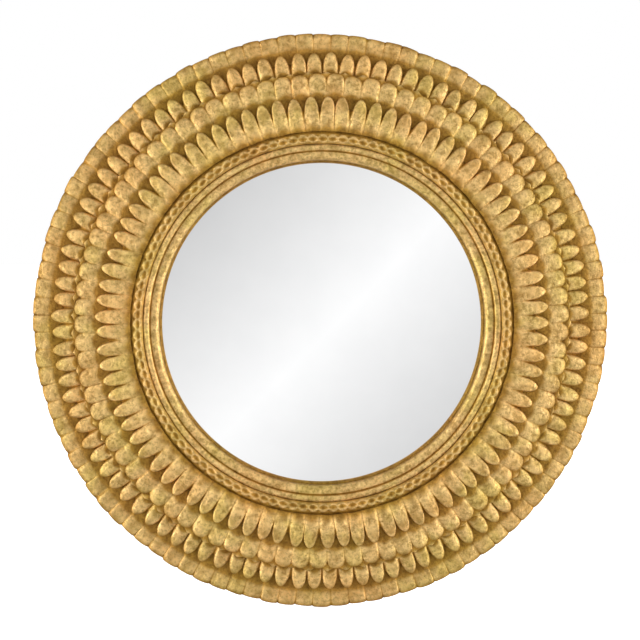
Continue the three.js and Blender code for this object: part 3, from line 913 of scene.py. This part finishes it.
# The strap starts as the cross-section of its sheet at the knuckle. One copy is drawn down the back
# of the frame and the other is bent round the bar of the ring.
def makeStrap(side, pivot):
    node = f"hanger_strap_{side}"
    bm = bmesh.new()
    half, sheet = hanger["width"] / 2, hanger["thickness"] / 2
    corners = [(-half, -sheet), (half, -sheet), (half, sheet), (-half, sheet)]
    face = bm.faces.new([bm.verts.new(Vector((x, -hanger["knuckle"] + y, 0)) * mm) for x, y in corners])
    bmesh.ops.spin(bm, geom=[face, *face.edges, *face.verts], cent=(0, 0, 0), axis=(-1, 0, 0),
                   angle=math.radians(hanger["wrap"]), steps=hanger["steps"])
    end = [f for f in bm.faces if abs(f.calc_center_median().z) < 1e-7 and f.calc_center_median().y < 0
           and abs(f.normal.z) > 0.9]
    drawn = bmesh.ops.extrude_face_region(bm, geom=end)["geom"]
    bmesh.ops.delete(bm, geom=end, context="FACES_ONLY")
    bmesh.ops.translate(bm, verts=vertsOf(drawn), vec=(0, 0, -hanger["drop"] * mm))
    bmesh.ops.remove_doubles(bm, verts=bm.verts, dist=mergeDistance / 10)
    bmesh.ops.recalc_face_normals(bm, faces=bm.faces)
    bevelSharpEdges(bm, hanger["softened"], sharp=math.radians(50))
    bmesh.ops.translate(bm, verts=bm.verts, vec=pivot)
    return finishPiece(f"hangerStrap{side.title()}", bm, [steel], replaces=[node])


# A D of round wire, swept along its bar, corners and bow.
def makeRing(side, pivot):
    node = f"hanger_ring_{side}"
    w = wire
    bm = bmesh.new()
    made = bmesh.ops.create_circle(bm, segments=w["sides"], radius=w["radius"] * mm)["verts"]
    bmesh.ops.rotate(bm, verts=made, cent=(0, 0, 0), matrix=Matrix.Rotation(math.radians(90), 3, "Y"))
    bmesh.ops.translate(bm, verts=made, vec=((w["corner"] - w["halfWidth"]) * mm, 0, 0))
    geom = made + list({edge for vert in made for edge in vert.link_edges})

    def straight(geom, x, z):
        out = bmesh.ops.extrude_edge_only(bm, edges=edgesOf(geom))["geom"]
        verts = vertsOf(out)
        bmesh.ops.translate(bm, verts=verts, vec=(x * mm, 0, z * mm))
        return verts + [edge for edge in edgesOf(out) if all(vert in verts for vert in edge.verts)]

    def bend(geom, x, z, degrees, steps):
        return bmesh.ops.spin(bm, geom=geom, cent=(x * mm, 0, z * mm), axis=(0, -1, 0),
                              angle=math.radians(degrees), steps=steps)["geom_last"]

    inner = w["halfWidth"] - w["corner"]
    geom = straight(geom, 2 * inner, 0)
    geom = bend(geom, inner, w["corner"], 90, 6)
    geom = straight(geom, 0, w["straight"] - w["corner"])
    geom = bend(geom, 0, w["straight"], 180, 24)
    geom = straight(geom, 0, w["corner"] - w["straight"])
    bend(geom, -inner, w["corner"], 90, 6)
    bmesh.ops.remove_doubles(bm, verts=bm.verts, dist=mergeDistance)
    lean = Matrix.Translation(pivot) @ Matrix.Rotation(math.radians(w["lean"]), 4, "X")
    bmesh.ops.transform(bm, matrix=lean, verts=bm.verts)
    name = f"hangerRing{side.title()}"
    return finishPiece(name, bm, [steel], body=f"ring_{side}", replaces=[node])


for side in ("left", "right"):
    pivot = pivotOf(f"ring_{side}_swing")
    makeStrap(side, pivot)
    makeRing(side, pivot)
    for place, spin in screwTurns.items():
        name = f"hangerScrew{side.title()}{place.title()}"
        makeScrew(name, f"hanger_screw_{side}_{place}", hangerScrew, steel, spin)


pad = {"count": 4, "radius": 8.95, "tip": 7.5, "softened": 0.9, "steps": 40}


def makePad(number):
    node = f"wall_pad_{number}"
    low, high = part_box(node)
    middle = (low + high) / 2
    bm = bmesh.new()
    bmesh.ops.create_cone(bm, cap_ends=True, segments=pad["steps"], radius1=pad["radius"] * mm,
                          radius2=pad["tip"] * mm, depth=high.y - low.y)
    bmesh.ops.recalc_face_normals(bm, faces=bm.faces)
    bevelSharpEdges(bm, pad["softened"], segments=3)
    standOnBack(bm, middle)
    return finishPiece(f"wallPad{number}", bm, [rubber], replaces=[node])


for number in range(1, pad["count"] + 1):
    makePad(number)
print("hangers and pads made")
